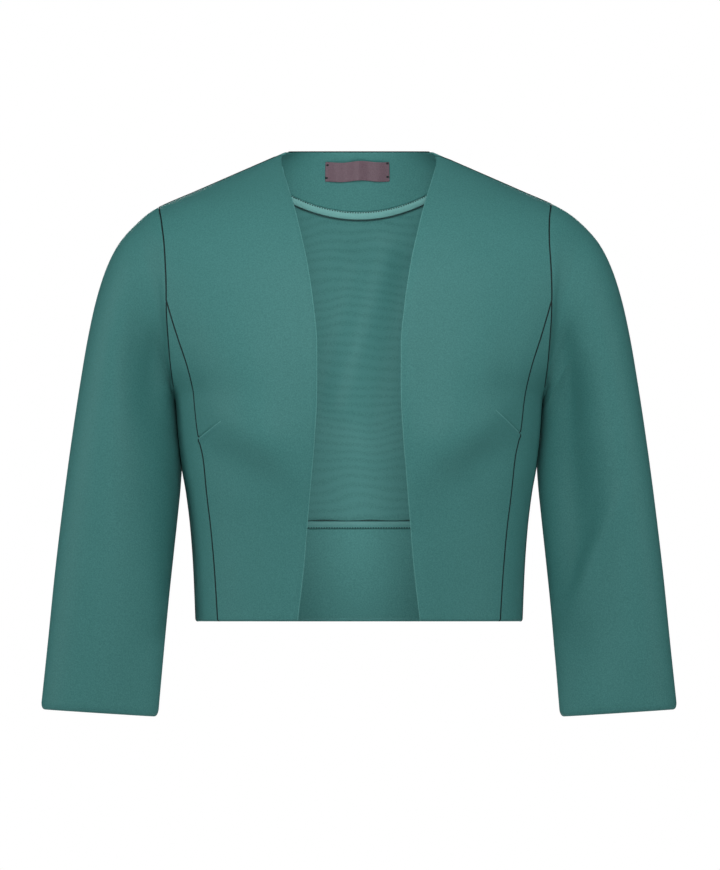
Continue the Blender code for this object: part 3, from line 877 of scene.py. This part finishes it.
facing_across = np.linspace(-1.0, 1.0, FACING_COLUMNS)[None, :]
facing_down = np.linspace(0.0, 1.0, FACING_ROWS)[:, None]
low_half = FACING_SHOULDER_HALF * facing_across
facing_half = FACING_NECK_HALF * facing_across * (1 - facing_down) + low_half * facing_down
facing_top = NECK_HEIGHT - FACING_TOP_DROP
facing_height = facing_top * (1 - facing_down) + facing_edge_height(low_half) * facing_down
neck_facing = cloth_shell(
    "back_neck_facing_cloth",
    lining_layer(facing_half, facing_height, INSIDE_BACK),
    lining_layer(facing_half, facing_height, INSIDE_BACK + FACING_WALL),
    [crepe],
)
wear(neck_facing, "back_neck_facing")

binding_across = np.linspace(0.0, 1.0, BINDING_ROWS)[:, None]


def binding_strip(name, half, height, satin):
    """A rolled strip whose visible face is crowned between its two edges."""
    crown = BINDING_CROWN * np.sin(np.pi * binding_across)
    return cloth_shell(
        name,
        lining_layer(half, height, INSIDE_BACK),
        lining_layer(half, height, INSIDE_BACK + BINDING_WALL + crown),
        [satin],
    )


def satin_material(name, dark, light, roughness):
    satin = woven_material(name, dark, light, speckle=SATIN_SPECKLE)
    satin.node_tree.nodes["Principled BSDF"].inputs["Roughness"].default_value = roughness
    return satin


def stitch_row(path, pitch, length):
    """Short pieces of a path, one for each stitch."""
    steps = np.linalg.norm(np.diff(path, axis=0), axis=1)
    run = np.concatenate(((0.0,), np.cumsum(steps)))
    stitches = []
    for start in np.arange(pitch, run[-1] - pitch, pitch):
        places = np.linspace(start, start + length, STITCH_POINTS)
        stitches.append(np.stack([np.interp(places, run, path[:, axis]) for axis in range(3)], axis=1))
    return stitches


neck_edge = facing_edge_height(low_half) - SEAM_GAP
neck_satin = satin_material("teal_neck_satin", NECK_SATIN_DARK, NECK_SATIN_LIGHT, NECK_SATIN_ROUGHNESS)
neck_binding = binding_strip(
    "neck_facing_binding_cloth", low_half, neck_edge - BINDING_WIDTH * binding_across, neck_satin
)
wear(
    neck_binding,
    "neck_facing_binding",
)
STITCH_DEPTH = INSIDE_BACK + BINDING_WALL + BINDING_STITCH_LIFT
neck_stitch_path = lining_layer(low_half, neck_edge - BINDING_STITCH_INSET, STITCH_DEPTH)[0]
round_tubes(
    "neck_binding_stitches",
    stitch_row(neck_stitch_path, BINDING_STITCH_PITCH, BINDING_STITCH_LENGTH),
    BINDING_STITCH_RADIUS,
    thread_and_seam_shade,
)
# A dark tube just below the neck binding is painted shadow where the strip stands off the back.
neck_ditch = lining_layer(low_half, neck_edge - BINDING_WIDTH - DITCH_RADIUS, INSIDE_BACK + DITCH_LIFT)[0]
ditch_shadow = woven_material("dark_ditch_shadow", DITCH_DARK, DITCH_LIGHT)
round_tubes("neck_binding_ditch", [neck_ditch], DITCH_RADIUS, ditch_shadow)
# A near-black tube along the top of the back neck is painted shade along that edge.
neck_top = lining_layer(NECK_SEAM_HALF * facing_across, NECK_HEIGHT - NECK_SEAM_DROP, PANEL_WALL / 2)[0]
round_tubes("neck_edge_seam", [neck_top], NECK_SEAM_RADIUS, thread_and_seam_shade)

# Back hem facing and its binding
# A deep facing of the same crepe lies inside the back hem and rolls in with it. Its upper
# edge is bound with a like satin strip of a darker tone, held by the same small stitches.
HEM_FACING_TOP = -334.5
HEM_FACING_LIFT = 0.8
HEM_FACING_MORE_ROLL = 1.2
HEM_FACING_ROLL = HEM_ROLL + HEM_FACING_MORE_ROLL
HEM_FACING_ROLL_ROWS = 8
HEM_FACING_COLUMNS = 110
HEM_FACING_ROWS = 30
HEM_FACING_SHARE = 0.965
hem_angle = np.linspace(-1.0, 1.0, HEM_FACING_COLUMNS)[None, :] * HEM_FACING_SHARE * math.pi / 2


def hem_layer(height, depth):
    half = closing_half(height) * np.sin(hem_angle)
    return lining_layer(half, height, depth)


hem_roll_top = HEM_HEIGHT + HEM_FACING_ROLL
hem_rows = np.concatenate(
    (
        np.linspace(HEM_FACING_TOP, hem_roll_top, HEM_FACING_ROWS),
        np.linspace(hem_roll_top, HEM_HEIGHT + HEM_FACING_LIFT, HEM_FACING_ROLL_ROWS)[1:],
    )
)[:, None]
hem_drawn_in = INSIDE_BACK + round_in(hem_rows - HEM_HEIGHT, HEM_FACING_ROLL)
hem_facing = cloth_shell(
    "back_hem_facing_cloth",
    hem_layer(hem_rows, hem_drawn_in),
    hem_layer(hem_rows, hem_drawn_in + FACING_WALL),
    [crepe],
)
wear(hem_facing, "back_hem_facing")

HEM_SATIN_DARK = (0.054, 0.200, 0.190, 1.0)
HEM_SATIN_LIGHT = (0.076, 0.248, 0.238, 1.0)
HEM_SATIN_ROUGHNESS = 0.48
HEM_DITCH_SWAY = 0.45
HEM_DITCH_WAVES = 23.0
HEM_DITCH_DEPTH = INSIDE_BACK + DITCH_LIFT
hem_satin = satin_material("teal_hem_satin", HEM_SATIN_DARK, HEM_SATIN_LIGHT, HEM_SATIN_ROUGHNESS)
hem_binding_rows = HEM_FACING_TOP + SEAM_GAP + BINDING_WIDTH * (1 - binding_across)
hem_binding_half = closing_half(hem_binding_rows) * np.sin(hem_angle)
hem_binding = binding_strip("hem_facing_binding_cloth", hem_binding_half, hem_binding_rows, hem_satin)
wear(
    hem_binding,
    "hem_facing_binding",
)
hem_stitch_height = np.full((1, 1), HEM_FACING_TOP + SEAM_GAP + BINDING_STITCH_INSET)
hem_stitch_path = hem_layer(hem_stitch_height, STITCH_DEPTH)[0]
round_tubes(
    "hem_binding_stitches",
    stitch_row(hem_stitch_path, BINDING_STITCH_PITCH, BINDING_STITCH_LENGTH),
    BINDING_STITCH_RADIUS,
    thread_and_seam_shade,
)
# A wavering dark tube just above the hem binding is painted shadow along the strip's upper edge.
hem_ditch_sway = HEM_DITCH_SWAY * np.sin(hem_angle * HEM_DITCH_WAVES)
hem_ditch_height = HEM_FACING_TOP + SEAM_GAP + BINDING_WIDTH + DITCH_RADIUS / 2 + hem_ditch_sway
hem_ditch = hem_layer(hem_ditch_height, HEM_DITCH_DEPTH)[0]
round_tubes("hem_binding_ditch", [hem_ditch], DITCH_RADIUS, ditch_shadow)

# Label
# A small plum satin label, bare, tacked at its four corners to the neck facing so that it
# bows a little between them.
LABEL_LEFT = -33.1
LABEL_RIGHT = 29.8
LABEL_TOP = 18.2
LABEL_BOTTOM = 0.6
LABEL_WALL = 1.0
LABEL_COLUMNS = 64
LABEL_ROWS = 20
INSIDE_FACING = INSIDE_BACK + FACING_WALL + LAYER_GAP
LABEL_DARK = (0.108, 0.070, 0.088, 1.0)
LABEL_LIGHT = (0.182, 0.121, 0.147, 1.0)
LABEL_SHEEN = (0.85, 0.70, 0.80, 1.0)
LABEL_ROUGHNESS = 0.38
LABEL_BOW = 1.6
LABEL_RIPPLE = 1.2
LABEL_RIPPLES = 3
LABEL_DIP = 1.0
LABEL_DIPS = 2.6
Tack = namedtuple("Tack", "half height")
LABEL_TACKS = [
    Tack(-31.0, 15.4),
    Tack(-31.8, 3.8),
    Tack(28.0, 17.0),
    Tack(28.0, 4.8),
]
TACK_LENGTH = 2.6
TACK_APART = 0.9
TACK_RADIUS = 0.42
TACK_LIFT = 0.3
TACK_DEPTH = INSIDE_FACING + LABEL_WALL + TACK_LIFT
label_across = np.linspace(0.0, 1.0, LABEL_COLUMNS)[None, :]
label_down = np.linspace(0.0, 1.0, LABEL_ROWS)[:, None]
label_arch = np.sin(np.pi * label_across)
label_bow = LABEL_BOW * label_arch**2 + LABEL_RIPPLE * np.sin(LABEL_RIPPLES * np.pi * label_across) ** 2
label_half = LABEL_LEFT + (LABEL_RIGHT - LABEL_LEFT) * label_across
label_dip = LABEL_DIP * np.sin(LABEL_DIPS * np.pi * label_across) * label_arch
label_height = LABEL_TOP + (LABEL_BOTTOM - LABEL_TOP) * label_down - label_dip
label_satin = satin_material("plum_label_satin", LABEL_DARK, LABEL_LIGHT, LABEL_ROUGHNESS)
label_satin.node_tree.nodes["Principled BSDF"].inputs["Sheen Tint"].default_value = LABEL_SHEEN
label = cloth_shell(
    "label_cloth",
    lining_layer(label_half, label_height, INSIDE_FACING + label_bow),
    lining_layer(label_half, label_height, INSIDE_FACING + LABEL_WALL + label_bow),
    [label_satin],
)
wear(label, "label")
tacks = []
for tack in LABEL_TACKS:
    for apart in (-TACK_APART / 2, TACK_APART / 2):
        half = np.linspace(tack.half - TACK_LENGTH / 2, tack.half + TACK_LENGTH / 2, STITCH_POINTS)[None, :]
        tacks.append(lining_layer(half, np.full((1, 1), tack.height + apart), TACK_DEPTH)[0])
round_tubes("label_tacks", tacks, TACK_RADIUS, thread_and_seam_shade)

# Floor, light and camera
# A plain pale floor well below the jacket, soft studio light from all round and a camera at
# the photograph's viewing angle. Sizes here are in metres and lamp energies in watts.
FLOOR_HEIGHT = -1.25
FLOOR_HALF = 3.0
FLOOR_COLOUR = (0.86, 0.86, 0.86, 1.0)
FLOOR_ROUGHNESS = 0.8
FLOOR_GLOW = (0.93, 0.93, 0.93, 1.0)
FLOOR_GLOW_SHARE = 0.82
floor_mesh = bpy.data.meshes.new("floor")
floor_bm = bmesh.new()
bmesh.ops.create_grid(floor_bm, x_segments=1, y_segments=1, size=FLOOR_HALF)
floor_bm.to_mesh(floor_mesh)
floor_bm.free()
floor_material = bpy.data.materials.new("pale_floor")
floor_material.use_nodes = True
floor_nodes = floor_material.node_tree.nodes
floor_links = floor_material.node_tree.links
floor_shader = floor_nodes["Principled BSDF"]
floor_shader.inputs["Base Color"].default_value = FLOOR_COLOUR
floor_shader.inputs["Roughness"].default_value = FLOOR_ROUGHNESS
floor_glow = floor_nodes.new("ShaderNodeEmission")
floor_glow.inputs["Color"].default_value = FLOOR_GLOW
floor_seen = floor_nodes.new("ShaderNodeLightPath")
floor_share = floor_nodes.new("ShaderNodeMath")
floor_share.operation = "MULTIPLY"
floor_share.inputs[1].default_value = FLOOR_GLOW_SHARE
floor_choice = floor_nodes.new("ShaderNodeMixShader")
floor_links.new(floor_seen.outputs["Is Camera Ray"], floor_share.inputs[0])
floor_links.new(floor_share.outputs["Value"], floor_choice.inputs[0])
floor_links.new(floor_shader.outputs["BSDF"], floor_choice.inputs[1])
floor_links.new(floor_glow.outputs["Emission"], floor_choice.inputs[2])
floor_links.new(floor_choice.outputs["Shader"], floor_nodes["Material Output"].inputs["Surface"])
floor_mesh.materials.append(floor_material)
floor = bpy.data.objects.new("floor", floor_mesh)
floor.location = (0.0, 0.0, FLOOR_HEIGHT)
bpy.context.scene.collection.objects.link(floor)

BACKGROUND = (1.0, 1.0, 1.0, 1.0)
AMBIENT = (1.0, 1.0, 1.0, 1.0)
AMBIENT_STRENGTH = 0.02
world = bpy.data.worlds.new("studio")
world.use_nodes = True
bpy.context.scene.world = world
world_nodes = world.node_tree.nodes
world_links = world.node_tree.links
ambient = world_nodes["Background"]
ambient.inputs["Color"].default_value = AMBIENT
ambient.inputs["Strength"].default_value = AMBIENT_STRENGTH
backdrop = world_nodes.new("ShaderNodeBackground")
backdrop.inputs["Color"].default_value = BACKGROUND
seen = world_nodes.new("ShaderNodeLightPath")
choice = world_nodes.new("ShaderNodeMixShader")
world_links.new(seen.outputs["Is Camera Ray"], choice.inputs[0])
world_links.new(ambient.outputs["Background"], choice.inputs[1])
world_links.new(backdrop.outputs["Background"], choice.inputs[2])
world_links.new(choice.outputs["Shader"], world_nodes["World Output"].inputs["Surface"])

SoftBox = namedtuple("SoftBox", "name place aim width height energy")
SOFT_BOXES = [
    SoftBox("front", (0.0, -2.7, 0.8), (0.0, 0.0, -0.2), 1.0, 1.0, 18.0),
    SoftBox("near_front", (0.0, -1.0, 0.35), (0.0, 0.0, -0.12), 0.5, 0.5, 5.1),
    SoftBox("right_side", (-2.7, -0.7, 0.3), (0.0, 0.0, -0.2), 0.9, 0.9, 26.5),
    SoftBox("left_side", (2.55, -1.15, 0.3), (0.0, 0.0, -0.2), 0.9, 0.9, 19.0),
    SoftBox("top", (0.0, -0.4, 2.4), (0.0, 0.0, -0.2), 1.4, 1.4, 8.6),
    SoftBox("back_right", (-0.4, 2.8, 0.6), (0.0, 0.0, -0.2), 0.8, 0.8, 28.0),
    SoftBox("back_left", (0.3, 2.8, 0.6), (0.0, 0.0, -0.2), 0.8, 0.8, 20.0),
    SoftBox("inside", (-0.015, -0.02, -0.175), (0.0, 0.1, -0.175), 0.06, 0.42, 0.132),
]
for box in SOFT_BOXES:
    lamp = bpy.data.lights.new(box.name, "AREA")
    lamp.shape = "RECTANGLE"
    lamp.size = box.width
    lamp.size_y = box.height
    lamp.energy = box.energy
    holder = bpy.data.objects.new(box.name, lamp)
    holder.location = box.place
    holder.rotation_euler = (Vector(box.aim) - holder.location).to_track_quat("-Z", "Y").to_euler()
    holder.visible_camera = False
    bpy.context.scene.collection.objects.link(holder)

VIEW_WIDTH = 0.6912
CAMERA_PLACE = Vector((0.00096, -12.0, -0.424))
CAMERA_AIM = Vector((0.00096, 0.0, -0.2448))
camera_data = bpy.data.cameras.new("camera")
camera_data.sensor_fit = "HORIZONTAL"
camera_data.sensor_width = 36.0
camera_data.lens = camera_data.sensor_width * abs(CAMERA_PLACE.y) / VIEW_WIDTH
camera_data.clip_end = 100.0
camera = bpy.data.objects.new("camera", camera_data)
camera.location = CAMERA_PLACE
camera.rotation_euler = (CAMERA_AIM - CAMERA_PLACE).to_track_quat("-Z", "Y").to_euler()
bpy.context.scene.collection.objects.link(camera)
bpy.context.scene.camera = camera
bpy.context.scene.view_settings.view_transform = "Standard"
